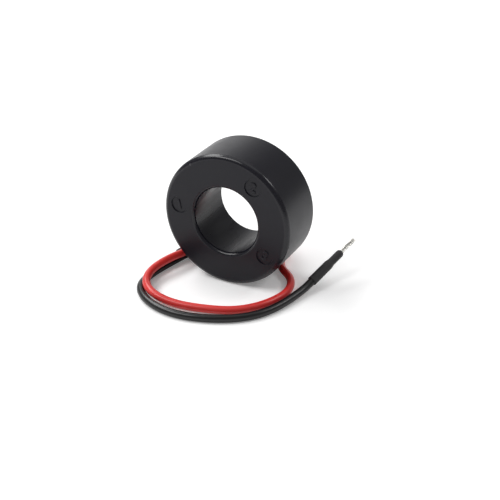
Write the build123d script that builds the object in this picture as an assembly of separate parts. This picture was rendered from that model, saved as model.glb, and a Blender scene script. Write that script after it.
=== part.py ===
"""Ring current transformer with two flying leads.

A moulded cup with a window tube through its middle holds a toroidal coil, which is potted in
from the open back. A red and a black lead come out of the potting, turn back round the ring on
the bench and end in a shrunk sleeve with tinned strands.

Millimetres. The ring stands on its rim: origin on the bench under the middle of the ring,
+Y along the window from the marked face to the potted back, +Z up.
"""

import os
from math import cos, degrees, radians, sin, tan

from build123d import *

# ---- Case ----
RING_DIAMETER = 36.0
RING_WIDTH = 15.3
WINDOW_DIAMETER = 18.2
OUTER_WALL = 1.5
WINDOW_WALL = 1.3
FACE_WALL = 1.6
FACE_EDGE_RADIUS = 1.3
WINDOW_EDGE_RADIUS = 0.9
BACK_EDGE_RADIUS = 0.35
CAVITY_CORNER_RADIUS = 0.5

# ---- Round moulded marks, sunk in the face: angles from +X, seen from the front ----
MARK_ANGLES = (172.0, 54.0, -33.0)
MARK_DIAMETER = 4.6
MARK_DEPTH = 0.4

# ---- Coil: builds from the outside in; those across the ring suit this room in the cavity ----
LAYERED_ROOM = 6.1
PAD_THICKNESS = 0.5
INNER_SKIRT = 0.3
OUTER_SKIRT = 0.7
TAPE_THICKNESS = 0.12
COIL_BUILD_INSIDE = 0.6
COIL_BUILD_OUTSIDE = 0.42
COIL_BUILD_ENDS = 0.5
COIL_CORNER_RADIUS = 0.4
COIL_GAP_DEGREES = 24.0
TURNS_SHOWN = 36
TURN_GROOVE_WIDTH = 0.3
TURN_GROOVE_DEPTH = 0.12
BOX_WALL = 0.4
LID_THICKNESS = 0.5
LID_LIP = 0.6
CUSHION_THICKNESS = 0.3
CORE_EDGE_CHAMFER = 0.15

# ---- Potting ----
POTTING_RECESS = 0.4
POTTING_BEHIND_COIL = 3.8
COLLAR_HEIGHT = 0.35
COLLAR_SPREAD = 0.7

# ---- Leads ----
LEAD_DIAMETER = 2.1
CONDUCTOR_DIAMETER = 1.15
EXIT_ANGLE = -59.7
EXIT_SPACING = 2.9
JACKET_EMBEDDED = 1.2
JACKET_STRIP_BACK = 1.6
SLEEVE_WALL = 0.2
SLEEVE_OVER_JACKET = 7.2
SLEEVE_OVER_STRANDS = 4.9
SLEEVE_NARROW_DIAMETER = 2.1
SLEEVE_STEP_LENGTH = 0.5
TIP_LENGTH = 5.6

# ---- Joints between the coil's ends and the leads ----
JOINT_DIAMETER = 1.7
JOINT_LENGTH = 1.5
JOINT_SLEEVE_WALL = 0.25
JOINT_SLEEVE_OVERLAP = 0.9
TAIL_DIAMETER = 0.4
TAIL_BEND_RADIUS = 0.3

# ---- Clearances ----
BOND_LINE = 0.03
SLIP = 0.03
CORE_SLIP = 0.1

# ---- Worked out ----
RING_RADIUS = RING_DIAMETER / 2
FACE_Z = RING_WIDTH / 2
BACK_Z = -RING_WIDTH / 2
BORE_RADIUS = WINDOW_DIAMETER / 2
TUBE_RADIUS = BORE_RADIUS + WINDOW_WALL
CAVITY_RADIUS = RING_RADIUS - OUTER_WALL
LAYER_SCALE = (CAVITY_RADIUS - TUBE_RADIUS) / LAYERED_ROOM
LEAD_RADIUS = LEAD_DIAMETER / 2
MIDDLE_RADIUS = (TUBE_RADIUS + CAVITY_RADIUS) / 2
POTTING_Z = BACK_Z + POTTING_RECESS
COIL_BACK_Z = POTTING_Z + POTTING_BEHIND_COIL
PAD_FRONT_Z = FACE_Z - FACE_WALL - SLIP
COIL_FRONT_Z = PAD_FRONT_Z - PAD_THICKNESS - SLIP
JACKET_END_Z = POTTING_Z + JACKET_EMBEDDED
CONDUCTOR_END_Z = JACKET_END_Z + JACKET_STRIP_BACK


class Annulus:
    """A ring of rectangular section about the window's axis, in the ring's own frame."""

    def __init__(self, inner, outer, back, front):
        self.inner, self.outer, self.back, self.front = inner, outer, back, front

    def inset(self, inside, outside, ends):
        """The ring left inside this one when each side comes in by its own amount."""
        return Annulus(self.inner + inside, self.outer - outside, self.back + ends, self.front - ends)

    def section(self, corner=0.0):
        """The section, on the plane through the axis at angle 0."""
        width, height = self.outer - self.inner, self.front - self.back
        shape = RectangleRounded(width, height, corner) if corner else Rectangle(width, height)
        middle = ((self.inner + self.outer) / 2, (self.back + self.front) / 2)
        return Plane.XZ * Pos(*middle) * shape

    def solid(self, corner=0.0, arc=360.0, start=0.0):
        return Rot(0, 0, start) * revolve(self.section(corner), Axis.Z, arc)


def round_edges(solid, radius, z):
    """The full-circle edges of a solid with this radius at this height on its axis."""
    found = [
        edge
        for edge in solid.edges().filter_by(GeomType.CIRCLE)
        if abs(edge.radius - radius) < 1e-3 and abs(edge.center(CenterOf.BOUNDING_BOX).Z - z) < 1e-3
    ]
    return ShapeList(found)


def on_ring(radius, angle, z):
    """A place in the ring's frame, turned so that its x points outwards."""
    return Pos(radius * cos(radians(angle)), radius * sin(radians(angle)), z) * Rot(0, 0, angle)


def standing(shape):
    """Stands what was made in the ring's own frame (face up) on its rim on the bench."""
    return Pos(0, 0, RING_RADIUS) * Rot(90, 0, 0) * shape


# ---- Layers of the coil, from its tape to its core ----
tape_ring = Annulus(
    TUBE_RADIUS + INNER_SKIRT * LAYER_SCALE,
    CAVITY_RADIUS - OUTER_SKIRT * LAYER_SCALE,
    COIL_BACK_Z,
    COIL_FRONT_Z,
)
coil_ring = tape_ring.inset(*[TAPE_THICKNESS + SLIP] * 3)
box_ring = coil_ring.inset(
    COIL_BUILD_INSIDE * LAYER_SCALE + SLIP,
    COIL_BUILD_OUTSIDE * LAYER_SCALE + SLIP,
    COIL_BUILD_ENDS + SLIP,
)
box_room = Annulus(
    box_ring.inner + BOX_WALL * LAYER_SCALE,
    box_ring.outer - BOX_WALL * LAYER_SCALE,
    box_ring.back + LID_THICKNESS,
    box_ring.front - BOX_WALL,
)
cushion_ring = Annulus(
    box_room.inner + CORE_SLIP * LAYER_SCALE,
    box_room.outer - CORE_SLIP * LAYER_SCALE,
    box_room.back + SLIP,
    box_room.back + SLIP + CUSHION_THICKNESS,
)
core_ring = Annulus(
    cushion_ring.inner, cushion_ring.outer, cushion_ring.front + SLIP, box_room.front - SLIP
)
COIL_ARC = 360.0 - COIL_GAP_DEGREES
COIL_START = EXIT_ANGLE + COIL_GAP_DEGREES / 2


def exit_angles():
    """Angles round the ring of the black and the red lead, a named spacing apart."""
    half_step = degrees(EXIT_SPACING / 2 / MIDDLE_RADIUS)
    return {"black": EXIT_ANGLE - half_step, "red": EXIT_ANGLE + half_step}


def case():
    """One moulding: face, outer wall and window tube, open at the back, with three sunk marks."""
    body = Cylinder(RING_RADIUS, RING_WIDTH)
    cavity = Annulus(TUBE_RADIUS, CAVITY_RADIUS, BACK_Z - RING_WIDTH, FACE_Z - FACE_WALL)
    body -= cavity.solid()
    body -= Cylinder(BORE_RADIUS, 2 * RING_WIDTH)
    body = fillet(round_edges(body, RING_RADIUS, FACE_Z), FACE_EDGE_RADIUS)
    body = fillet(round_edges(body, BORE_RADIUS, FACE_Z), WINDOW_EDGE_RADIUS)
    rim_edges = round_edges(body, RING_RADIUS, BACK_Z) + round_edges(body, BORE_RADIUS, BACK_Z)
    body = fillet(rim_edges, BACK_EDGE_RADIUS)
    corners = round_edges(body, TUBE_RADIUS, cavity.front) + round_edges(body, CAVITY_RADIUS, cavity.front)
    body = fillet(corners, CAVITY_CORNER_RADIUS)
    mark_middle = (BORE_RADIUS + RING_RADIUS) / 2
    for angle in MARK_ANGLES:
        mark = Cylinder(MARK_DIAMETER / 2, 2 * MARK_DEPTH)
        body -= on_ring(mark_middle, angle, FACE_Z) * mark
    return body


def face_pad():
    """Soft washer between the case's face and the coil."""
    inside = TUBE_RADIUS + CAVITY_CORNER_RADIUS
    outside = CAVITY_RADIUS - CAVITY_CORNER_RADIUS
    return Annulus(inside, outside, PAD_FRONT_Z - PAD_THICKNESS, PAD_FRONT_Z).solid()


def coil_tape():
    """Wrapped polyester tape round the coil, open at the gap where the coil's ends come out."""
    wrap = tape_ring.solid(COIL_CORNER_RADIUS + TAPE_THICKNESS, COIL_ARC, COIL_START)
    return wrap - tape_ring.inset(*[TAPE_THICKNESS] * 3).solid(COIL_CORNER_RADIUS)


def turn_groove():
    """A thin frame that marks the valley between two bundles of turns."""
    around = coil_ring.inset(*[-1.0] * 3)
    core = coil_ring.inset(*[TURN_GROOVE_DEPTH] * 3)
    frame = around.section() - core.section(COIL_CORNER_RADIUS - TURN_GROOVE_DEPTH)
    return extrude(frame, TURN_GROOVE_WIDTH / 2, both=True)


def winding_tail(angle, towards):
    """The end of the winding's wire, from its joint down and sideways into the coil."""
    level = coil_ring.back + COIL_BUILD_ENDS / 2
    aside = 2 * MIDDLE_RADIUS * sin(radians(COIL_GAP_DEGREES / 4)) - EXIT_SPACING / 2 + TAIL_DIAMETER
    ends = [(0, 0, joint_span()[1]), (0, 0, level), (0, towards * aside, level)]
    wire = FilletPolyline(*ends, radius=TAIL_BEND_RADIUS)
    section = Plane(origin=ends[0], z_dir=(0, 0, 1)) * Circle(TAIL_DIAMETER / 2)
    return on_ring(MIDDLE_RADIUS, angle, 0) * sweep(section, path=wire)


def secondary_winding():
    """The wound coil, its turns in bundles, with both ends of its wire."""
    coil = coil_ring.solid(COIL_CORNER_RADIUS, COIL_ARC, COIL_START)
    coil -= box_ring.inset(*[-SLIP] * 3).solid()
    pitch = COIL_ARC / TURNS_SHOWN
    groove = turn_groove()
    coil -= [Rot(0, 0, COIL_START + pitch * turn) * groove for turn in range(1, TURNS_SHOWN)]
    angles = exit_angles()
    return coil + winding_tail(angles["black"], -1) + winding_tail(angles["red"], 1)


def core_box_base():
    """Plastic trough that the core lies in, open towards the back."""
    trough = Annulus(box_ring.inner, box_ring.outer, box_room.back + SLIP, box_ring.front)
    room = Annulus(box_room.inner, box_room.outer, box_ring.back - 1, box_room.front)
    return trough.solid() - room.solid()


def core_box_lid():
    """Flat ring that closes the trough, with a lip at each side that drops between its walls."""
    plate = Annulus(box_ring.inner, box_ring.outer, box_ring.back, box_room.back).solid()
    lip = Annulus(
        box_room.inner + SLIP, box_room.outer - SLIP, box_room.back, box_room.back + LID_LIP
    )
    between = Annulus(cushion_ring.inner, cushion_ring.outer, box_room.back, box_room.back + LID_LIP)
    return plate + (lip.solid() - between.solid())


def core_cushion():
    """Foam ring that keeps the core from rattling under the lid."""
    return cushion_ring.inset(SLIP, SLIP, 0).solid()


def core():
    """Strip-wound ring of magnetic alloy."""
    ring = core_ring.inset(SLIP, SLIP, 0).solid()
    edges = [
        edge
        for radius in (core_ring.inner + SLIP, core_ring.outer - SLIP)
        for z in (core_ring.back, core_ring.front)
        for edge in round_edges(ring, radius, z)
    ]
    return chamfer(edges, CORE_EDGE_CHAMFER)


def joint_span():
    """Back and front of a solder joint, over the bare end of the conductor."""
    back = CONDUCTOR_END_Z - JOINT_LENGTH / 2
    return back, back + JOINT_LENGTH


def solder_joint():
    """Barrel of solder over the conductor's end, rounded at both ends."""
    back, front = joint_span()
    barrel = Pos(0, 0, (back + front) / 2) * Cylinder(JOINT_DIAMETER / 2, JOINT_LENGTH)
    barrel = fillet(barrel.edges(), JOINT_DIAMETER / 5)
    wire = Pos(0, 0, back - 1) * Cylinder(
        CONDUCTOR_DIAMETER / 2, CONDUCTOR_END_Z - back + 1, align=(Align.CENTER, Align.CENTER, Align.MIN)
    )
    return barrel - wire


def joint_sleeve_radius():
    return LEAD_RADIUS + SLIP + JOINT_SLEEVE_WALL


def joint_sleeve():
    """Insulating tube over the jacket's end and the solder joint."""
    back = JACKET_END_Z - JOINT_SLEEVE_OVERLAP
    front = COIL_BACK_Z - BOND_LINE
    tube = Annulus(LEAD_RADIUS + SLIP, joint_sleeve_radius(), back, front)
    return tube.solid()


def potting():
    """Cast resin round and behind the coil, with a collar climbing each lead."""
    block = Annulus(TUBE_RADIUS + BOND_LINE, CAVITY_RADIUS - BOND_LINE, POTTING_Z, PAD_FRONT_Z)
    pocket = Annulus(
        tape_ring.inner - BOND_LINE, tape_ring.outer + BOND_LINE, COIL_BACK_Z - BOND_LINE, FACE_Z
    )
    corner_room = Annulus(TUBE_RADIUS, CAVITY_RADIUS, PAD_FRONT_Z - CAVITY_CORNER_RADIUS, FACE_Z)
    resin = block.solid() - pocket.solid() - corner_room.solid()
    sleeve_back = JACKET_END_Z - JOINT_SLEEVE_OVERLAP - BOND_LINE
    for angle in exit_angles().values():
        collar = Pos(0, 0, POTTING_Z - COLLAR_HEIGHT) * Cone(
            LEAD_RADIUS + 0.1, LEAD_RADIUS + COLLAR_SPREAD, COLLAR_HEIGHT,
            align=(Align.CENTER, Align.CENTER, Align.MIN),
        )
        resin += on_ring(MIDDLE_RADIUS, angle, 0) * collar
        lead_hole = Annulus(0, LEAD_RADIUS + BOND_LINE, BACK_Z - 2, sleeve_back + 0.5)
        joint_room = Annulus(0, joint_sleeve_radius() + BOND_LINE, sleeve_back, COIL_BACK_Z)
        for room in (lead_hole, joint_room):
            resin -= on_ring(MIDDLE_RADIUS, angle, 0) * room.solid()
    return resin


# ---- Leads: routes on the bench, chosen by hand; the last point is the end of the strands ----
ON_BENCH = LEAD_RADIUS
SLEEVE_ON_BENCH = LEAD_RADIUS + SLIP + SLEEVE_WALL
EXIT_RUN = 3.3

BLACK_ROUTE = [
    (4.1, 14.1, 4.0), (1.0, 16.5, 1.9), (-3.2, 17.1, ON_BENCH), (-8.3, 15.5, ON_BENCH),
    (-11.6, 11.9, ON_BENCH), (-12.9, 7.8, 1.1), (-14.6, 3.4, 1.5), (-16.0, -1.9, 1.5),
    (-18.05, -8.35, ON_BENCH), (-19.1, -15.4, ON_BENCH), (-18.05, -21.65, ON_BENCH),
    (-12.1, -26.9, ON_BENCH), (-3.2, -29.02, ON_BENCH), (6.0, -26.85, ON_BENCH),
    (13.6, -22.25, ON_BENCH), (18.0, -15.5, ON_BENCH), (20.8, -5.0, 1.5), (26.9, 14.6, 9.0),
]

RED_ROUTE = [
    (5.4, 14.6, 6.4), (1.4, 16.2, 5.0), (-2.9, 15.4, 2.7), (-7.6, 13.1, 2.4),
    (-11.7, 11.2, 3.5), (-14.6, 7.6, 4.0), (-15.4, 2.8, 4.0), (-14.5, -2.4, 3.4),
    (-16.2, -7.9, 3.9), (-18.2, -14.4, 3.2), (-17.0, -20.2, 2.7), (-12.8, -24.0, 2.2),
    (-6.6, -24.7, 1.2), (1.1, -23.6, ON_BENCH), (9.6, -20.7, ON_BENCH), (15.0, -14.6, ON_BENCH),
    (17.7, -6.4, ON_BENCH), (15.6, 0.5, ON_BENCH), (10.9, 4.3, ON_BENCH), (8.9, 9.6, ON_BENCH),
    (5.9, 15.4, ON_BENCH), (-0.1, 20.0, ON_BENCH), (-7.4, 18.6, ON_BENCH),
    (-12.3, 15.6, ON_BENCH), (-14.6, 11.8, SLEEVE_ON_BENCH), (-20.2, -6.4, SLEEVE_ON_BENCH),
]

ROUTES = {"black": BLACK_ROUTE, "red": RED_ROUTE}


def exit_point(colour, z):
    """A place on a lead's exit axis, given by its height in the ring's frame, on the bench."""
    return (standing(on_ring(MIDDLE_RADIUS, exit_angles()[colour], z))).position


def lead_corners(colour):
    """Corners of a lead's route, from the one straight out of the potting to the last bend."""
    return [exit_point(colour, POTTING_Z - EXIT_RUN)] + [Vector(*p) for p in ROUTES[colour][:-1]]


def lead_end(colour, back_from_tip):
    """A place on the lead's last run, so far back from the end of its strands."""
    tip = Vector(*ROUTES[colour][-1])
    last_bend = lead_corners(colour)[-1]
    return tip + (last_bend - tip).normalized() * back_from_tip


def bend_radii(colour):
    """Each arc is as large as the two runs beside it allow."""
    points = [exit_point(colour, JACKET_END_Z), *lead_corners(colour)]
    points.append(lead_end(colour, TIP_LENGTH + SLEEVE_OVER_STRANDS))
    radii = []
    for before, corner, after in zip(points, points[1:], points[2:]):
        half_turn = radians((corner - before).get_angle(after - corner) / 2)
        radii.append(0.45 * min((corner - before).length, (after - corner).length) / tan(half_turn))
    return radii


def along_lead(colour, start_z, back_from_tip, section):
    """Sweeps a section along a lead, from inside the ring to near the end of its strands."""
    start, end = exit_point(colour, start_z), lead_end(colour, back_from_tip)
    path = FilletPolyline(start, *lead_corners(colour), end, radius=bend_radii(colour))
    tube = sweep(Plane(origin=start, z_dir=(0, 1, 0)) * section, path=path)
    straight = section.area * path.length
    print(f"{colour}: path {path.length:.1f} mm, volume {tube.volume:.2f}, section x length {straight:.2f}")
    return tube


def lead_jacket(colour):
    """PVC insulation, from just under the potting's surface to where it is stripped."""
    ring = Circle(LEAD_RADIUS) - Circle(CONDUCTOR_DIAMETER / 2 + SLIP)
    return along_lead(colour, JACKET_END_Z, TIP_LENGTH + SLEEVE_OVER_STRANDS, ring)


def conductor(colour):
    """Tinned copper strands, taken as one round bundle, from the joint to the bare tip."""
    strands = along_lead(colour, CONDUCTOR_END_Z, 0, Circle(CONDUCTOR_DIAMETER / 2))
    tip = lead_end(colour, 0)
    rims = strands.edges().filter_by(GeomType.CIRCLE)
    tip_rim = min(rims, key=lambda rim: (rim.center(CenterOf.BOUNDING_BOX) - tip).length)
    return fillet(tip_rim, CONDUCTOR_DIAMETER / 4)


def end_sleeve(colour):
    """Sleeve shrunk over the jacket's end and, past a step, over the bare strands."""
    over_jacket = LEAD_RADIUS + SLIP
    over_strands = CONDUCTOR_DIAMETER / 2 + SLIP
    total = SLEEVE_OVER_JACKET + SLEEVE_OVER_STRANDS
    step = SLEEVE_OVER_JACKET + SLEEVE_STEP_LENGTH
    outline = Polyline(
        (over_jacket, 0), (over_jacket + SLEEVE_WALL, 0),
        (over_jacket + SLEEVE_WALL, SLEEVE_OVER_JACKET + SLIP),
        (SLEEVE_NARROW_DIAMETER / 2, step), (SLEEVE_NARROW_DIAMETER / 2, total),
        (over_strands, total), (over_strands, SLEEVE_OVER_JACKET + SLIP),
        (over_jacket, SLEEVE_OVER_JACKET + SLIP), close=True,
    )
    sleeve = revolve(Plane.XZ * make_face(outline), Axis.Z)
    start, end = lead_end(colour, TIP_LENGTH + total), lead_end(colour, TIP_LENGTH)
    return Plane(origin=start, z_dir=end - start) * sleeve


def ring_parts():
    """What is made in the ring's own frame, by node name."""
    angles = exit_angles()
    parts = {
        "case": case(),
        "potting": potting(),
        "face_pad": face_pad(),
        "coil_tape": coil_tape(),
        "secondary_winding": secondary_winding(),
        "core_box_base": core_box_base(),
        "core_box_lid": core_box_lid(),
        "core_cushion": core_cushion(),
        "core": core(),
    }
    for colour, angle in angles.items():
        parts[colour + "_solder_joint"] = on_ring(MIDDLE_RADIUS, angle, 0) * solder_joint()
        parts[colour + "_joint_sleeve"] = on_ring(MIDDLE_RADIUS, angle, 0) * joint_sleeve()
    return {name: standing(shape) for name, shape in parts.items()}


def lead_parts():
    """What lies on the bench, by node name."""
    parts = {}
    for colour in ROUTES:
        print(colour, "bend radii", ", ".join(f"{radius:.1f}" for radius in bend_radii(colour)))
        parts[colour + "_lead"] = lead_jacket(colour)
        parts[colour + "_conductor"] = conductor(colour)
        parts[colour + "_end_sleeve"] = end_sleeve(colour)
    return parts


os.makedirs("parts", exist_ok=True)
for node, shape in {**ring_parts(), **lead_parts()}.items():
    export_step(shape, f"parts/{node}.step")
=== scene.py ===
"""Ring current transformer with two flying leads, dressed over its fixed frame.

Sizes in the property groups are in metres. The ring stands on its rim: +Y runs along the window
from the marked face to the potted back, +Z is up, and the bench is z = 0.
"""

import math

import bmesh
import bpy
from mathutils import Matrix, Vector


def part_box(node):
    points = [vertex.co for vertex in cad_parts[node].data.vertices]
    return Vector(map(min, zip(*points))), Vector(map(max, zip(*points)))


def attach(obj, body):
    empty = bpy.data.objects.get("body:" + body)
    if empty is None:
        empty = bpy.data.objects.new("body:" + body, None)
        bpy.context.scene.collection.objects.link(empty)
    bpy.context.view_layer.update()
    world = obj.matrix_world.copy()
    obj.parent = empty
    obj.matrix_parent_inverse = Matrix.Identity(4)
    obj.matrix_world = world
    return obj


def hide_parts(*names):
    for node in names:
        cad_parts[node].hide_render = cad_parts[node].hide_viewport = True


bl_info = {
    "name": "Ring Current Transformer",
    "version": (1, 0, 0),
    "blender": (4, 5, 0),
    "location": "View3D > Sidebar > Transformer",
    "description": "Builds a potted ring current transformer with its red and black leads",
    "category": "Object",
}

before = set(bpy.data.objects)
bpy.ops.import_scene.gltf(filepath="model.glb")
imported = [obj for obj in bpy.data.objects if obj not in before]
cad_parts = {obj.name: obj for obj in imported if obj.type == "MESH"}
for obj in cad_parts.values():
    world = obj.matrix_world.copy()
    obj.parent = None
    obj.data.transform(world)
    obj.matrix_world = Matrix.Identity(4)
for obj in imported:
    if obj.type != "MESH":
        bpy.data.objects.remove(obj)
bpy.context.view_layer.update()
CASE_LOW, CASE_HIGH = (Vector(corner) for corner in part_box("case"))
POTTING_LOW = Vector(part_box("potting")[0])

MM = 0.001
BODY = "root"

# Height of the window's axis, and the resin's level, a little inside the case's open back.
RING_Z = (CASE_LOW.z + CASE_HIGH.z) / 2
RESIN_LEVEL = CASE_HIGH.y - 0.4 * MM

# Number raised in each sunk mark, the mark's angle on the face and the number's lean, in degrees.
MARKS = (("1", 172.0, 12.0), ("2", 54.0, -14.0), ("3", -33.0, -20.0))

# Corners that shape each lead's line, in millimetres, from inside the potting to the end of the
# jacket, and the end of the strands beyond it. A smooth curve is drawn on the corners.
BLACK_LINE = [
    (5.5, 6.05, 5.72), (5.5, 10.55, 5.72), (4.1, 14.1, 4.0), (1.0, 16.5, 1.9),
    (-3.2, 17.1, 1.05), (-8.3, 15.5, 1.05), (-11.6, 11.9, 1.05), (-12.9, 7.8, 1.1),
    (-14.6, 3.4, 1.5), (-16.0, -1.9, 1.5), (-18.05, -8.35, 1.05), (-19.1, -15.4, 1.05),
    (-18.05, -21.65, 1.05), (-12.1, -26.9, 1.05), (-3.2, -29.02, 1.05), (6.0, -26.85, 1.05),
    (13.6, -22.25, 1.05), (18.0, -15.5, 1.05), (20.8, -5.0, 1.5), (22.386, 0.096, 3.45),
    (23.972, 5.192, 5.40),
]
BLACK_TIP = (26.9, 14.6, 9.0)

RED_LINE = [
    (8.0, 6.05, 7.18), (8.0, 10.55, 7.18), (5.4, 14.6, 6.4), (1.4, 16.2, 5.0),
    (-2.9, 15.4, 2.7), (-7.6, 13.1, 2.4), (-11.7, 11.2, 3.5), (-14.6, 7.6, 4.0),
    (-15.4, 2.8, 4.0), (-14.5, -2.4, 3.4), (-16.2, -7.9, 3.9), (-18.2, -14.4, 3.2),
    (-17.0, -20.2, 2.7), (-12.8, -24.0, 2.2), (-6.6, -24.7, 1.2), (1.1, -23.6, 1.05),
    (9.6, -20.7, 1.05), (15.0, -14.6, 1.05), (17.7, -6.4, 1.05), (15.6, 0.5, 1.05),
    (10.05, 4.85, 1.05), (8.2, 9.35, 1.05), (5.9, 15.4, 1.05), (-0.1, 20.0, 1.05),
    (-7.4, 18.6, 1.05), (-12.3, 15.6, 1.05), (-14.6, 11.8, 1.28), (-15.9, 7.57, 1.28),
    (-17.11, 3.64, 1.28),
]
RED_TIP = (-19.85, -6.55, 1.15)

# How far each outer strand reaches, as a share of the longest, and its lean outwards in degrees.
STRAND_ENDS = ((1.0, 0.3), (0.97, 0.9), (0.99, 0.0), (0.955, 0.7), (0.985, 0.2), (0.96, 1.1))

# A small bruise on the rim of the marked face, and its grey: scuffed plastic, painted lighter as
# the highlight that the dent catches.
NICK = (-9.8 * MM, CASE_LOW.y + 0.15 * MM, RING_Z + 13.9 * MM)
NICK_SCUFF_AND_GLINT = (0.055, 0.055, 0.06)

# Each soft box: its name, its place, its width and depth in metres, and its power in watts.
SOFT_BOXES = (
    ("soft_box_over", (-0.05, 0.30, 1.20), (1.20, 1.20), 2.7),
    ("soft_box_left", (-0.72, 0.06, 0.80), (0.38, 1.05), 7.6),
    ("soft_box_front", (-0.40, -0.54, 0.90), (0.54, 0.30), 3.2),
    ("soft_box_behind", (-0.62, 1.02, 0.34), (1.10, 0.60), 1.5),
    ("soft_box_right", (0.66, 0.44, 0.78), (0.24, 0.36), 1.9),
)
ROOM_LIGHT = 0.27
BENCH_LIFT = 0.17  # light that the bench adds for the camera alone, so its shadows stay pale

CAMERA_PLACE = (0.118754, -0.225120, 0.142108)
CAMERA_AZIMUTH, CAMERA_ELEVATION = math.radians(27.14), math.radians(28.11)
CAMERA_LENS, CAMERA_SENSOR = 78.05, 36.0  # both in millimetres
WHITE = (1.0, 1.0, 1.0, 1.0)


# ---- Sizes and colours that a user would change ----
def length(name, description, default):
    """A size in metres."""
    return bpy.props.FloatProperty(
        name=name, description=description, default=default, unit="LENGTH", precision=5
    )


def colour(name, description, default):
    """A colour in linear light."""
    return bpy.props.FloatVectorProperty(
        name=name, description=description, default=default, subtype="COLOR", min=0.0, max=1.0
    )


class TransformerCaseSizes(bpy.types.PropertyGroup):
    ring_radius: length("Ring Radius", "Outer radius of the case", (CASE_HIGH.x - CASE_LOW.x) / 2)
    ring_width: length("Ring Width", "Case from face to back", CASE_HIGH.y - CASE_LOW.y)
    window_radius: length("Window Radius", "Radius of the opening for the cable", 9.1 * MM)
    outer_wall: length("Outer Wall", "Thickness of the case's outer wall", 1.5 * MM)
    window_wall: length("Window Wall", "Thickness of the wall round the window", 1.3 * MM)
    face_wall: length("Face Wall", "Thickness of the marked face", 1.6 * MM)
    face_edge: length("Face Edge", "Radius round the face's rim", 1.3 * MM)
    window_edge: length("Window Edge", "Radius round the window at the face", 1.05 * MM)
    back_edge: length("Back Edge", "Radius of the rims at the back", 0.35 * MM)
    mark_radius: length("Mark Radius", "Radius of the round sunk marks", 2.3 * MM)
    mark_depth: length("Mark Depth", "Depth of the round sunk marks", 0.3 * MM)
    number_size: length("Number Size", "Size of the type of the raised numbers", 3.5 * MM)


class TransformerLeadSizes(bpy.types.PropertyGroup):
    lead_radius: length("Lead Radius", "Radius of the PVC jacket", 1.05 * MM)
    strand_radius: length("Strand Radius", "Radius of one tinned strand", 0.19 * MM)
    bundle_radius: length("Bundle Radius", "Radius of the bundle of strands", 0.575 * MM)
    tip_length: length("Bare Tip", "Bare strands past the sleeve", 5.6 * MM)
    sleeve_radius: length("Sleeve Radius", "Sleeve over the jacket", 1.28 * MM)
    sleeve_neck: length("Sleeve Neck", "Sleeve over the bare strands", 1.05 * MM)
    sleeve_over_jacket: length("Sleeve Over Jacket", "Sleeve's wide part", 7.2 * MM)
    sleeve_over_strands: length("Sleeve Over Strands", "Sleeve's narrow part", 4.9 * MM)


class TransformerColours(bpy.types.PropertyGroup):
    case: colour("Case", "Moulded case", (0.0042, 0.0039, 0.0078))
    potting: colour("Potting", "Cast resin at the back", (0.006, 0.006, 0.007))
    red_jacket: colour("Red Jacket", "Red PVC", (0.66, 0.036, 0.033))
    black_jacket: colour("Black Jacket", "Black PVC", (0.0045, 0.0045, 0.005))
    sleeve: colour("Sleeve", "Shrunk sleeves", (0.020, 0.020, 0.021))
    floor: colour("Floor", "Bench under the ring", (0.95, 0.95, 0.95))


# ---- Materials ----
class Field:
    """A value that varies over a surface. Sums on it add Math nodes to its material."""

    def __init__(self, finish, socket):
        self.finish, self.socket = finish, socket

    def maths(self, operation, first, second):
        """Adds one Math node and gives its result."""
        return self.finish.node("ShaderNodeMath", {"operation": operation}, {0: first, 1: second})

    def __add__(self, other):
        return self.maths("ADD", self, other)

    def __sub__(self, other):
        return self.maths("SUBTRACT", self, other)

    def __rsub__(self, other):
        return self.maths("SUBTRACT", other, self)

    def __mul__(self, other):
        return self.maths("MULTIPLY", self, other)

    __radd__, __rmul__ = __add__, __mul__


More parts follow.
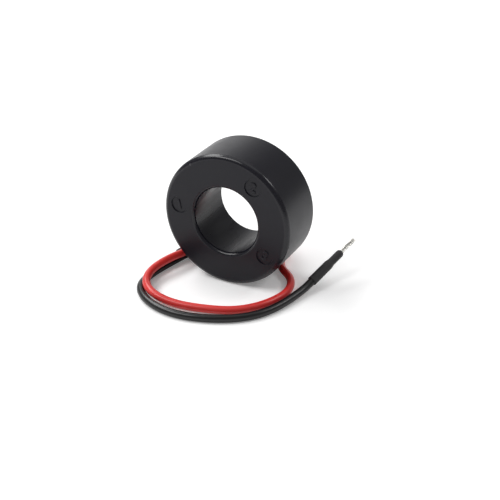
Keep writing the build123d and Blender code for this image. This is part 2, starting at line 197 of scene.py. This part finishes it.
class Finish:
    """A material on one Principled shader, with the patterns that this object's pieces share."""

    def __init__(self, name, **steady):
        self.material = bpy.data.materials.new(name)
        self.material.use_nodes = True
        self.tree = self.material.node_tree
        self.shader = self.tree.nodes["Principled BSDF"]
        for socket, value in steady.items():
            self.shader.inputs[socket.replace("_", " ")].default_value = value
        self.place = self.node("ShaderNodeTexCoord", out="Object")

    def node(self, kind, settings=None, sockets=None, out=0):
        """Adds a node: its settings first, then the values and links of its sockets."""
        node = self.tree.nodes.new(kind)
        for name, value in (settings or {}).items():
            if name == "stops":
                for stop, (position, shade) in zip(node.color_ramp.elements, value):
                    stop.position, stop.color = position, (shade, shade, shade, 1.0)
            else:
                setattr(node, name, value)
        for name, value in (sockets or {}).items():
            if isinstance(value, Field):
                self.tree.links.new(value.socket, node.inputs[name])
            else:
                node.inputs[name].default_value = value
        return Field(self, node.outputs[out])

    def feed(self, socket, field):
        """Lets a field drive a socket of the shader."""
        self.tree.links.new(field.socket, self.shader.inputs[socket])

    def cloud(self, size, detail=2.0, stretch=(1.0, 1.0, 1.0)):
        """Soft noise from 0 to 1 whose patches are about this size in metres."""
        place = self.place
        if stretch != (1.0, 1.0, 1.0):
            place = self.node("ShaderNodeMapping", None, {"Vector": place, "Scale": stretch})
        sockets = {"Vector": place, "Scale": 1.0 / size, "Detail": detail}
        return self.node("ShaderNodeTexNoise", None, sockets)

    def between(self, field, low, high):
        """Stretches a field so that what lies between two of its values fills 0 to 1."""
        stops = [(low, 0.0), (high, 1.0)]
        return self.node("ShaderNodeValToRGB", {"stops": stops}, {"Fac": field}) * 1.0

    def shade(self, factor, first, second):
        """Mixes two colours, or patterns of colour, by a factor from 0 to 1."""
        first, second = (
            tone if isinstance(tone, Field) else (*tone, 1.0) for tone in (first, second)
        )
        sockets = {0: factor, 6: first, 7: second}
        return self.node("ShaderNodeMix", {"data_type": "RGBA"}, sockets, out=2)

    def relief(self, height, depth):
        """Bumps the surface, at half strength, by a height from 0 to 1 over a depth in metres."""
        sockets = {"Height": height, "Distance": depth, "Strength": 0.5}
        self.feed("Normal", self.node("ShaderNodeBump", None, sockets))

    def tint(self, base, size, lift):
        """Lets the colour drift between the base and one slightly lifted."""
        lifted = tuple(min(1.0, channel * (1.0 + lift)) for channel in base)
        self.feed("Base Color", self.shade(self.cloud(size), base, lifted))


def moulded_plastic(name, base):
    """Satin black moulding: fine spark texture, glossier rims, and draw marks in the window."""
    finish = Finish(name, Specular_IOR_Level=0.33, Coat_Roughness=0.15)
    flat = {"Vector": finish.place, "Location": (0.0, 0.0, -RING_Z), "Scale": (1.0, 0.0, 1.0)}
    about = finish.node("ShaderNodeMapping", None, flat)
    radius = finish.node("ShaderNodeVectorMath", {"operation": "LENGTH"}, {0: about}, out=1)
    depth = finish.node("ShaderNodeSeparateXYZ", None, {"Vector": finish.place}, out=1)

    # The rims begin 3.35 mm to either side of the middle circle, and end 1.5 mm behind the face.
    middle = 13.35 * MM
    off_middle = (radius - middle) * (radius - middle) * 2.0e4
    edges = finish.between(off_middle, 0.225, 0.255)
    near_face = finish.between((CASE_LOW.y + 1.5 * MM - depth) * (0.5 / MM), 0.0, 0.25)
    rims = edges * near_face
    window = finish.between((9.9 * MM - radius) * (1.0 / MM), 0.2, 0.7) * (1.0 - near_face)

    draw_marks = finish.cloud(1.3 * MM, 5.0, stretch=(1.0, 0.12, 1.0))
    rubbed = finish.between(finish.cloud(7 * MM, 4.0), 0.45, 0.72)
    gloss = 0.29 + 0.06 * rubbed + 0.05 * finish.cloud(0.5 * MM)
    finish.feed("Roughness", gloss - 0.06 * rims + 0.40 * (window * (draw_marks - 0.5)))
    finish.feed("Coat Weight", rims * 0.25)

    ends = {0: finish.place, 1: NICK}
    from_nick = finish.node("ShaderNodeVectorMath", {"operation": "DISTANCE"}, ends, out=1)
    # Round the nick the colour turns lighter grey: scuffed plastic, and a painted highlight on the
    # dent. The same mask sinks the dent.
    nick_scuff_and_glint = 1.0 - finish.between(from_nick * (1.0 / MM), 0.16, 0.42)
    lifted = tuple(channel * 1.35 for channel in base)
    dusty = finish.shade(finish.cloud(4 * MM), base, lifted)
    finish.feed("Base Color", finish.shade(nick_scuff_and_glint, dusty, NICK_SCUFF_AND_GLINT))

    waves, grain = finish.cloud(6 * MM, 1.0), finish.cloud(0.16 * MM, 3.0)
    height = 0.6 * waves + 0.2 * grain + 1.6 * (window * draw_marks) - 0.6 * nick_scuff_and_glint
    finish.relief(height, 0.04 * MM)
    return finish.material


def cast_resin(name, base):
    """Glossy epoxy that levelled itself, with slow ripples and a few sunk pinholes."""
    finish = Finish(name, Specular_IOR_Level=0.5)
    finish.tint(base, 3 * MM, 0.4)
    finish.feed("Roughness", 0.10 + 0.12 * finish.cloud(1.5 * MM, 3.0))
    pits = finish.node("ShaderNodeTexVoronoi", None, {"Vector": finish.place, "Scale": 420.0})
    pinholes = finish.between(pits, 0.05, 0.10)
    finish.relief(0.5 * finish.cloud(5 * MM, 1.0) + 0.5 * pinholes, 0.12 * MM)
    return finish.material


def pvc_jacket(name, base):
    """Extruded PVC: satin, with faint draw marks and dust."""
    finish = Finish(name, Specular_IOR_Level=0.5)
    finish.tint(base, 2.5 * MM, 0.12)
    finish.feed("Roughness", 0.25 + 0.10 * finish.cloud(1.2 * MM, 3.0))
    finish.relief(finish.cloud(0.35 * MM, 3.0), 0.02 * MM)
    return finish.material


def shrunk_sleeve(name, base):
    """Matt polyolefin, slightly wrinkled by the heat."""
    finish = Finish(name, Specular_IOR_Level=0.42)
    finish.tint(base, 1.5 * MM, 0.5)
    finish.feed("Roughness", 0.56 + 0.16 * finish.cloud(0.8 * MM, 3.0))
    finish.relief(finish.cloud(1.1 * MM, 2.0) + finish.cloud(0.2 * MM, 2.0), 0.04 * MM)
    return finish.material


def drawn_metal(name, base, roughness, drift):
    """Bright wire, solder or alloy whose gloss drifts in small patches."""
    finish = Finish(name, Metallic=1.0)
    finish.tint(base, 0.6 * MM, 0.2)
    finish.feed("Roughness", roughness + drift * finish.cloud(0.4 * MM, 3.0))
    finish.relief(finish.cloud(0.12 * MM, 2.0), 0.01 * MM)
    return finish.material


def strip_wound(name, base):
    """Alloy strip wound on itself: fine rings about the window's axis."""
    finish = Finish(name, Metallic=1.0)
    centre = {"Vector": finish.place, "Location": (0.0, 0.0, -RING_Z)}
    about = finish.node("ShaderNodeMapping", None, centre)
    settings = {"wave_type": "RINGS", "rings_direction": "Y"}
    rings = finish.node("ShaderNodeTexWave", settings, {"Vector": about, "Scale": 1600.0})
    finish.tint(base, 1 * MM, 0.15)
    finish.feed("Roughness", 0.28 + 0.18 * rings)
    finish.relief(rings, 0.01 * MM)
    return finish.material


def dull_solid(name, base, roughness, size):
    """Nylon, foam or film whose colour and gloss vary in small patches."""
    finish = Finish(name)
    finish.tint(base, 2 * MM, 0.2)
    finish.feed("Roughness", roughness + 0.15 * finish.cloud(size, 3.0))
    finish.relief(finish.cloud(size, 3.0), 0.05 * MM)
    return finish.material


# ---- Modelling steps that the operators share ----
def select_only(*objects):
    """Selects these pieces alone and makes the first of them active."""
    if bpy.context.object and bpy.context.object.mode != "OBJECT":
        bpy.ops.object.mode_set(mode="OBJECT")
    bpy.ops.object.select_all(action="DESELECT")
    for item in objects:
        item.select_set(True)
    bpy.context.view_layer.objects.active = objects[0] if objects else None


def start_editing(item):
    """Selects a piece alone and opens its mesh."""
    select_only(item)
    bpy.ops.object.mode_set(mode="EDIT")


def stop_editing():
    """Closes the mesh that is open and gives its piece."""
    bpy.ops.object.mode_set(mode="OBJECT")
    return bpy.context.object


def pick(kind, test):
    """Selects the faces or edges, of the mesh that is edited, whose place passes a test."""
    bpy.ops.mesh.select_mode(type=kind)
    bpy.ops.mesh.select_all(action="DESELECT")
    mesh = bmesh.from_edit_mesh(bpy.context.object.data)
    for part in mesh.faces if kind == "FACE" else mesh.edges:
        if test(part):
            part.select_set(True)
    mesh.select_flush_mode()
    bmesh.update_edit_mesh(bpy.context.object.data)


def settle(item, angle=32.0):
    """Leaves a piece at the origin with smooth curved faces and crisp edges."""
    select_only(item)
    bpy.ops.object.transform_apply(location=True, rotation=True, scale=True)
    bpy.ops.object.shade_smooth_by_angle(angle=math.radians(angle))


def apply_modifier(item, kind, **settings):
    """Adds a modifier with these settings and applies it."""
    select_only(item)
    modifier = item.modifiers.new(kind.title(), kind)
    for name, value in settings.items():
        setattr(modifier, name, value)
    bpy.ops.object.modifier_apply(modifier=modifier.name)


def finish_piece(item, name, material, slot, *nodes):
    """Names a piece, gives it its finish and puts it in place of the frame's solids."""
    item.name = name
    item.data.name = name
    item.data.materials.clear()
    item.data.materials.append(material)
    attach(item, BODY)
    if nodes:
        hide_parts(*nodes)
    return item


def turned(stations, vertices, close="BRIDGE"):
    """Turns a piece about Z: a circle, extruded and resized to each (radius, height) in turn.

    close joins the last circle to the first (BRIDGE) or closes both ends with a face (CAP).
    """
    (radius, height), *rest = stations
    bpy.ops.object.select_all(action="DESELECT")
    bpy.ops.mesh.primitive_circle_add(vertices=vertices, radius=radius, location=(0, 0, height))
    item = bpy.context.object
    select_only(item)
    bpy.ops.object.transform_apply(location=True, rotation=True, scale=True)
    start_editing(item)
    bpy.ops.mesh.select_mode(type="EDGE")
    bpy.ops.mesh.select_all(action="SELECT")
    for next_radius, next_height in rest:
        rise = {"value": (0, 0, next_height - height)}
        bpy.ops.mesh.extrude_region_move(TRANSFORM_OT_translate=rise)
        scale = next_radius / radius
        bpy.ops.transform.resize(value=(scale, scale, 1), center_override=(0, 0, next_height))
        radius, height = next_radius, next_height
    pick("EDGE", lambda edge: edge.is_boundary)
    if close == "BRIDGE":
        bpy.ops.mesh.bridge_edge_loops()
    else:
        bpy.ops.mesh.fill_holes(sides=0)
    bpy.ops.mesh.select_all(action="SELECT")
    bpy.ops.mesh.normals_make_consistent(inside=False)
    return stop_editing()


def put(item, origin, direction):
    """Stands a piece that was turned about Z on a place, with its Z along a direction."""
    turn = Vector(direction).to_track_quat("Z", "Y").to_matrix().to_4x4()
    item.matrix_world = Matrix.Translation(Vector(origin)) @ turn
    select_only(item)
    bpy.ops.object.transform_apply(location=True, rotation=True, scale=True)


def from_axis(point):
    """How far a point is from the window's axis."""
    return math.hypot(point.x, point.z - RING_Z)


def on_face(angle, radius, y):
    """A place on the marked face, its angle from +X as seen from the front."""
    turn = math.radians(angle)
    return Vector((radius * math.cos(turn), y, RING_Z + radius * math.sin(turn)))


class TRANSFORMER_OT_case(bpy.types.Operator):
    """Model the moulded case: rounded rims, window, open back and three sunk marks"""

    bl_idname = "transformer.case"
    bl_label = "Case"

    def execute(self, context):
        sizes = context.scene.transformer_case
        radius, width, window = sizes.ring_radius, sizes.ring_width, sizes.window_radius
        front, back = CASE_LOW.y, CASE_LOW.y + width
        select_only()
        bpy.ops.mesh.primitive_cylinder_add(
            vertices=256, radius=radius, depth=width, location=(0, front + width / 2, RING_Z),
            rotation=(math.pi / 2, 0, 0),
        )
        case = context.object
        select_only(case)
        bpy.ops.object.transform_apply(location=True, rotation=True, scale=True)
        start_editing(case)
        cavity_outside, cavity_inside = radius - sizes.outer_wall, window + sizes.window_wall
        pick("FACE", lambda face: face.normal.y < -0.9)
        bpy.ops.mesh.inset(thickness=radius - window)
        pick("FACE", lambda face: face.normal.y > 0.9)
        for step in (sizes.outer_wall, cavity_outside - cavity_inside, sizes.window_wall):
            bpy.ops.mesh.inset(thickness=step)
        # Only the two round faces that are left in the middle have this many corners.
        pick("FACE", lambda face: abs(face.normal.y) > 0.9 and len(face.verts) > 8)
        bpy.ops.mesh.bridge_edge_loops()
        middle = (cavity_outside + cavity_inside) / 2
        pick(
            "FACE",
            lambda face: face.normal.y > 0.9
            and abs(from_axis(face.calc_center_median()) - middle) < 0.5 * MM,
        )
        sink = {"value": (0, sizes.face_wall - width, 0)}
        bpy.ops.mesh.extrude_region_move(TRANSFORM_OT_translate=sink)
        floor, mouth_edge, floor_edge = front + sizes.face_wall, 0.12 * MM, 0.5 * MM
        # Each round edge: its radius, its place along the window, its rounding and the steps in it.
        rims = [
            (radius, front, sizes.face_edge, 14), (window, front, sizes.window_edge, 10),
            (radius, back, sizes.back_edge, 5), (window, back, sizes.back_edge, 5),
            (cavity_outside, back, mouth_edge, 3), (cavity_inside, back, mouth_edge, 3),
            (cavity_outside, floor, floor_edge, 4), (cavity_inside, floor, floor_edge, 4),
        ]
        for rim_radius, y, offset, segments in rims:
            def on_rim(edge, rim_radius=rim_radius, y=y):
                return all(
                    abs(from_axis(v.co) - rim_radius) < 0.05 * MM and abs(v.co.y - y) < 0.01 * MM
                    for v in edge.verts
                )

            pick("EDGE", on_rim)
            bpy.ops.mesh.bevel(offset=offset, segments=segments, profile=0.5)
        bpy.ops.mesh.select_all(action="SELECT")
        bpy.ops.mesh.normals_make_consistent(inside=False)
        stop_editing()
        for _, angle, _ in MARKS:
            self.sink_mark(case, sizes, on_face(angle, (radius + window) / 2, front))
        settle(case)
        apply_modifier(case, "WEIGHTED_NORMAL", keep_sharp=True, weight=50)
        material = moulded_plastic("moulded_case", context.scene.transformer_colours.case)
        finish_piece(case, "case_moulding", material, "case_plastic", "case")
        return {"FINISHED"}

    def sink_mark(self, case, sizes, centre):
        """Cuts one round mark with a slight draft, its floor flat."""
        depth, wide, draft = sizes.mark_depth, sizes.mark_radius, 0.12 * MM
        stations = [(wide - draft, 0), (wide, depth), (wide + 0.05 * MM, 3 * depth)]
        cutter = turned(stations, 72, close="CAP")
        put(cutter, centre + Vector((0, depth, 0)), (0, -1, 0))
        apply_modifier(case, "BOOLEAN", operation="DIFFERENCE", object=cutter, solver="MANIFOLD")
        bpy.data.objects.remove(cutter)


class TRANSFORMER_OT_mark_numbers(bpy.types.Operator):
    """Raise a plain cavity number on the floor of each sunk mark"""

    bl_idname = "transformer.mark_numbers"
    bl_label = "Mark Numbers"

    def execute(self, context):
        sizes = context.scene.transformer_case
        floor = CASE_LOW.y + sizes.mark_depth
        middle = (sizes.ring_radius + sizes.window_radius) / 2
        upright = Matrix.Rotation(math.radians(90), 4, "X")
        numbers = []
        for number, angle, lean in MARKS:
            select_only()
            bpy.ops.object.text_add()
            text = context.object
            text.data.body = number
            text.data.size = sizes.number_size
            text.data.extrude = 0.12 * MM
            text.data.bevel_depth = 0.10 * MM
            text.data.bevel_resolution = 2
            text.data.offset = 0.04 * MM
            text.data.align_x, text.data.align_y = "CENTER", "CENTER"
            select_only(text)
            bpy.ops.object.convert(target="MESH")
            number_mesh = context.object
            tilt = Matrix.Rotation(math.radians(lean), 4, "Z")
            place = Matrix.Translation(on_face(angle, middle, floor))
            number_mesh.matrix_world = place @ upright @ tilt
            select_only(number_mesh)
            bpy.ops.object.transform_apply(location=True, rotation=True, scale=True)
            numbers.append(number_mesh)
        select_only(*numbers)
        bpy.ops.object.join()
        joined = context.object
        start_editing(joined)
        bpy.ops.mesh.select_all(action="SELECT")
        bpy.ops.mesh.remove_doubles(threshold=0.001 * MM)
        bpy.ops.mesh.normals_make_consistent(inside=False)
        stop_editing()
        settle(joined)
        material = bpy.data.materials["moulded_case"]
        finish_piece(joined, "mark_numbers", material, "case_plastic")
        return {"FINISHED"}


class TRANSFORMER_OT_potting(bpy.types.Operator):
    """Model the cast resin at the back, drawn up at the walls and round each lead"""

    bl_idname = "transformer.potting"
    bl_label = "Potting"

    def execute(self, context):
        sizes = context.scene.transformer_case
        gap = 0.03 * MM
        inside = sizes.window_radius + sizes.window_wall + gap
        outside = sizes.ring_radius - sizes.outer_wall - gap
        depth = RESIN_LEVEL - POTTING_LOW.y
        # How the resin climbs a wall: its distance from the wall and its height, in millimetres.
        climb = [(0.0, 0.22), (0.12, 0.12), (0.3, 0.05), (0.6, 0.015), (1.0, 0.0)]
        surface = [(inside + away * MM, height * MM) for away, height in climb]
        surface += [(outside - away * MM, height * MM) for away, height in reversed(climb)]
        resin = turned([(inside, -depth), *surface, (outside, -depth)], 192)
        put(resin, (0, RESIN_LEVEL, RING_Z), (0, 1, 0))
        # Radius and height, in millimetres, of the collar that the resin draws up round a lead.
        collar_line = [
            (0.9, -0.3), (1.78, -0.3), (1.75, 0.0), (1.45, 0.05),
            (1.25, 0.14), (1.13, 0.27), (1.08, 0.34), (0.9, 0.34),
        ]
        for line in (BLACK_LINE, RED_LINE):
            x, _, z = line[0]
            collar = turned([(radius * MM, height * MM) for radius, height in collar_line], 64)
            put(collar, (x * MM, RESIN_LEVEL, z * MM), (0, 1, 0))
            apply_modifier(resin, "BOOLEAN", operation="UNION", object=collar, solver="MANIFOLD")
            bpy.data.objects.remove(collar)
        settle(resin, 40.0)
        material = cast_resin("cast_resin", context.scene.transformer_colours.potting)
        finish_piece(resin, "potting_resin", material, "potting_resin", "potting")
        return {"FINISHED"}


class TRANSFORMER_OT_inner_parts(bpy.types.Operator):
    """Give the coil, its core and its joints, inside the potting, their finishes"""

    bl_idname = "transformer.inner_parts"
    bl_label = "Inner Parts"

    def execute(self, context):
        foam = dull_solid("grey_foam", (0.20, 0.20, 0.20), 0.8, 0.4 * MM)
        nylon = dull_solid("natural_nylon", (0.80, 0.79, 0.73), 0.45, 0.6 * MM)
        sleeving = dull_solid("joint_sleeving", (0.04, 0.04, 0.042), 0.55, 0.5 * MM)
        solder = drawn_metal("joint_solder", (0.62, 0.62, 0.64), 0.32, 0.2)
        finishes = {
            "face_pad": foam,
            "core_cushion": foam,
            "core_box_base": nylon,
            "core_box_lid": nylon,
            "core": strip_wound("wound_alloy", (0.50, 0.50, 0.53)),
            "coil_tape": dull_solid("yellow_film", (0.72, 0.46, 0.08), 0.22, 1.2 * MM),
            "secondary_winding": drawn_metal("enamelled_copper", (0.62, 0.24, 0.09), 0.25, 0.1),
            "black_solder_joint": solder,
            "red_solder_joint": solder,
            "black_joint_sleeve": sleeving,
            "red_joint_sleeve": sleeving,
        }
        for node, material in finishes.items():
            for holder in bpy.data.objects[node].material_slots:
                holder.material = material
        return {"FINISHED"}


def lead_direction(line, tip):
    """The way a lead's straight end points, and the place where its jacket stops."""
    stop = Vector(line[-1]) * MM
    return (Vector(tip) * MM - stop).normalized(), stop


def lead_curve(name, line, radius):
    """A smooth line on a lead's corners, as thick as its jacket."""
    data = bpy.data.curves.new(name, "CURVE")
    data.dimensions = "3D"
    spline = data.splines.new("NURBS")
    spline.points.add(len(line) - 1)
    for point, corner in zip(spline.points, line):
        point.co = (*(Vector(corner) * MM), 1.0)
    spline.order_u = 3
    spline.use_endpoint_u = True
    spline.resolution_u = 14
    data.bevel_depth = radius
    data.bevel_resolution = 7
    data.use_fill_caps = True
    item = bpy.data.objects.new(name, data)
    bpy.context.scene.collection.objects.link(item)
    return item


class TRANSFORMER_OT_leads(bpy.types.Operator):
    """Lay the red and the black lead with their shrunk sleeves and twisted strands"""

    bl_idname = "transformer.leads"
    bl_label = "Leads"

    def execute(self, context):
        sizes, colours = context.scene.transformer_leads, context.scene.transformer_colours
        sleeve_finish = shrunk_sleeve("shrunk_sleeve", colours.sleeve)
        strand_finish = drawn_metal("tinned_strands", (0.66, 0.65, 0.62), 0.18, 0.12)
        # Each lead: its line, its tip, its colour and the length of its jacket past the resin.
        leads = {
            "black": (BLACK_LINE, BLACK_TIP, colours.black_jacket, 126.7 * MM),
            "red": (RED_LINE, RED_TIP, colours.red_jacket, 164.1 * MM),
        }
        for shade, (line, tip, base, real_length) in leads.items():
            sleeve = self.sleeve(sizes, line, tip)
            finish_piece(
                sleeve, f"{shade}_shrunk_sleeve", sleeve_finish, "shrink_sleeve",
                f"{shade}_end_sleeve",
            )
            strands = self.strands(sizes, line, tip)
            finish_piece(
                strands, f"{shade}_twisted_strands", strand_finish, "tinned_copper",
                f"{shade}_conductor",
            )
            jacket = lead_curve(f"{shade}_lead_jacket", line, sizes.lead_radius)
            material = pvc_jacket(f"{shade}_pvc", base)
            finish_piece(
                jacket, f"{shade}_lead_jacket", material, f"{shade}_pvc", f"{shade}_lead"
            )
        return {"FINISHED"}

    def sleeve(self, sizes, line, tip):
        """Tube shrunk over the jacket's end, necked down over the strands, with a soft step."""
        step, end = sizes.sleeve_over_jacket, sizes.sleeve_over_jacket + sizes.sleeve_over_strands
        inner, bundle = sizes.lead_radius + 0.01 * MM, sizes.bundle_radius
        # Spans of the outline. Each (radius, height), in millimetres, is added to its span's own.
        outline = [
            (sizes.sleeve_radius, 0.0, [
                (-0.05, 0.0), (-0.01, 0.04), (0.0, 0.12), (-0.01, 1.6), (0.0, 3.4), (-0.02, 5.2),
            ]),
            (sizes.sleeve_radius, step, [(-0.01, -0.55), (-0.03, -0.3), (-0.10, 0.0)]),
            (sizes.sleeve_neck, step, [(0.06, 0.45), (0.01, 0.7), (0.0, 1.0), (-0.01, 2.4)]),
            (sizes.sleeve_neck, end, [
                (0.0, -0.9), (-0.03, -0.45), (-0.12, -0.2), (-0.24, -0.05), (-0.34, 0.0),
            ]),
        ]
        stations = [(inner, 0.0)]
        for radius, height, corners in outline:
            stations += [(radius + out * MM, height + along * MM) for out, along in corners]
        stations += [
            (bundle + 0.03 * MM, end - 0.08 * MM), (bundle, step + 0.4 * MM),
            (inner, step - 0.1 * MM),
        ]
        sleeve = turned(stations, 56)
        direction, stop = lead_direction(line, tip)
        put(sleeve, stop - direction * step, direction)
        settle(sleeve, 50.0)
        return sleeve

    def strands(self, sizes, line, tip):
        """Six tinned strands laid round a seventh, twisted together, their ends a little uneven."""
        inside_sleeve = 1.2 * MM
        reach, thin = sizes.tip_length + inside_sleeve, sizes.strand_radius
        select_only()
        bpy.ops.mesh.primitive_cylinder_add(
            vertices=14, radius=thin, depth=reach, location=(0, 0, reach / 2)
        )
        core = bpy.context.object
        select_only(core)
        bpy.ops.object.transform_apply(location=True, rotation=True, scale=True)
        start_editing(core)
        pick("EDGE", lambda edge: all(v.co.z > reach - 0.01 * MM for v in edge.verts))
        bpy.ops.mesh.bevel(offset=0.07 * MM, segments=3, profile=0.5)
        pick("EDGE", lambda edge: abs(edge.verts[0].co.z - edge.verts[1].co.z) > reach / 2)
        bpy.ops.mesh.subdivide(number_cuts=36)
        stop_editing()
        wires = [core]
        for number, (share, lean) in enumerate(STRAND_ENDS):
            select_only(core)
            bpy.ops.object.duplicate()
            wire = bpy.context.object
            about = Matrix.Rotation(math.tau * number / len(STRAND_ENDS), 4, "Z")
            aside = Matrix.Translation((sizes.bundle_radius - thin, 0, 0))
            outwards = Matrix.Rotation(math.radians(lean), 4, "Y")
            wire.matrix_world = about @ aside @ outwards @ Matrix.Diagonal((1, 1, share, 1))
            select_only(wire)
            bpy.ops.object.transform_apply(location=True, rotation=True, scale=True)
            wires.append(wire)
        select_only(*wires)
        bpy.ops.object.join()
        bundle = bpy.context.object
        apply_modifier(
            bundle, "SIMPLE_DEFORM", deform_method="TWIST", angle=math.radians(210),
            deform_axis="Z",
        )
        direction, stop = lead_direction(line, tip)
        put(bundle, Vector(tip) * MM - direction * reach, direction)
        settle(bundle, 40.0)
        return bundle


def look(location, forward, up):
    """The turn of a camera or lamp that looks along forward with up upwards."""
    back = -Vector(forward).normalized()
    right = Vector(up).cross(back).normalized()
    turn = Matrix((right, back.cross(right), back)).transposed()
    return Matrix.Translation(Vector(location)) @ turn.to_4x4()


class TRANSFORMER_OT_stage(bpy.types.Operator):
    """Add the bench, the soft lamps and the camera"""

    bl_idname = "transformer.stage"
    bl_label = "Stage"

    def execute(self, context):
        scene = context.scene
        scene.view_settings.view_transform = "Standard"
        self.bench(context)
        self.lamps(scene)
        self.surroundings(scene)
        camera = bpy.data.cameras.new("camera")
        camera.lens, camera.sensor_width = CAMERA_LENS, CAMERA_SENSOR
        camera.clip_start, camera.clip_end = 0.01, 20.0
        eye = bpy.data.objects.new("camera", camera)
        scene.collection.objects.link(eye)
        forward = (
            -math.sin(CAMERA_AZIMUTH) * math.cos(CAMERA_ELEVATION),
            math.cos(CAMERA_AZIMUTH) * math.cos(CAMERA_ELEVATION),
            -math.sin(CAMERA_ELEVATION),
        )
        eye.matrix_world = look(CAMERA_PLACE, forward, (0, 0, 1))
        bpy.context.scene.camera = eye
        return {"FINISHED"}

    def bench(self, context):
        """A white bench, lifted a little for the camera alone."""
        select_only()
        bpy.ops.mesh.primitive_plane_add(size=6.0, location=(0, 0, 0))
        bench = context.object
        bench.name = "bench"
        bench_finish = Finish("white_bench", Roughness=0.9, Specular_IOR_Level=0.1)
        base = tuple(context.scene.transformer_colours.floor)
        darker = tuple(channel * 0.995 for channel in base)
        patches = bench_finish.shade(bench_finish.cloud(0.3), darker, base)
        bench_finish.feed("Base Color", patches)
        bench_finish.shader.inputs["Emission Color"].default_value = WHITE
        seen = bench_finish.node("ShaderNodeLightPath", out="Is Camera Ray")
        bench_finish.feed("Emission Strength", seen * BENCH_LIFT)
        bench.data.materials.append(bench_finish.material)

    def lamps(self, scene):
        """Soft boxes over the ring, on its left and in front, behind it and on its right."""
        for name, place, (wide, deep), power in SOFT_BOXES:
            lamp = bpy.data.lights.new(name, "AREA")
            lamp.shape, lamp.energy = "RECTANGLE", power
            lamp.size, lamp.size_y = wide, deep
            holder = bpy.data.objects.new(name, lamp)
            scene.collection.objects.link(holder)
            aim = Vector((0, 0, RING_Z)) - Vector(place)
            up = (0, 0, 1) if name == "soft_box_behind" else (0, 1, 0)
            holder.matrix_world = look(place, aim, up)

    def surroundings(self, scene):
        """A dim white room that the camera sees as a plain white backdrop."""
        scene.world = bpy.data.worlds.new("studio")
        scene.world.use_nodes = True
        tree = scene.world.node_tree
        room, backdrop = tree.nodes["Background"], tree.nodes.new("ShaderNodeBackground")
        for shader, strength in ((room, ROOM_LIGHT), (backdrop, 1.0)):
            shader.inputs["Color"].default_value = WHITE
            shader.inputs["Strength"].default_value = strength
        path, seen = tree.nodes.new("ShaderNodeLightPath"), tree.nodes.new("ShaderNodeMixShader")
        tree.links.new(path.outputs["Is Camera Ray"], seen.inputs[0])
        tree.links.new(room.outputs[0], seen.inputs[1])
        tree.links.new(backdrop.outputs[0], seen.inputs[2])
        tree.links.new(seen.outputs[0], tree.nodes["World Output"].inputs["Surface"])


STEPS = (
    TRANSFORMER_OT_stage,
    TRANSFORMER_OT_leads,
    TRANSFORMER_OT_case,
    TRANSFORMER_OT_mark_numbers,
    TRANSFORMER_OT_potting,
    TRANSFORMER_OT_inner_parts,
)


class TRANSFORMER_PT_panel(bpy.types.Panel):
    """Steps that build the transformer"""

    bl_label = "Ring Current Transformer"
    bl_idname = "TRANSFORMER_PT_panel"
    bl_space_type = "VIEW_3D"
    bl_region_type = "UI"
    bl_category = "Transformer"

    def draw(self, context):
        for step in STEPS:
            self.layout.operator(step.bl_idname)
        for name, kind in GROUPS.items():
            group, box = getattr(context.scene, name), self.layout.box()
            for entry in kind.__annotations__:
                box.prop(group, entry)


GROUPS = {
    "transformer_case": TransformerCaseSizes,
    "transformer_leads": TransformerLeadSizes,
    "transformer_colours": TransformerColours,
}


def register():
    """Makes the steps, sizes and panel known to Blender."""
    for kind in (*GROUPS.values(), *STEPS, TRANSFORMER_PT_panel):
        bpy.utils.register_class(kind)
    for name, group in GROUPS.items():
        setattr(bpy.types.Scene, name, bpy.props.PointerProperty(type=group))


def unregister():
    """Takes the steps, sizes and panel away again."""
    for name in GROUPS:
        delattr(bpy.types.Scene, name)
    for kind in (TRANSFORMER_PT_panel, *reversed(STEPS), *GROUPS.values()):
        bpy.utils.unregister_class(kind)


def main():
    """Builds the transformer on its stage."""
    register()
    bpy.ops.transformer.stage()
    bpy.ops.transformer.leads()
    bpy.ops.transformer.case()
    bpy.ops.transformer.mark_numbers()
    bpy.ops.transformer.potting()
    bpy.ops.transformer.inner_parts()


if __name__ == "__main__":
    main()
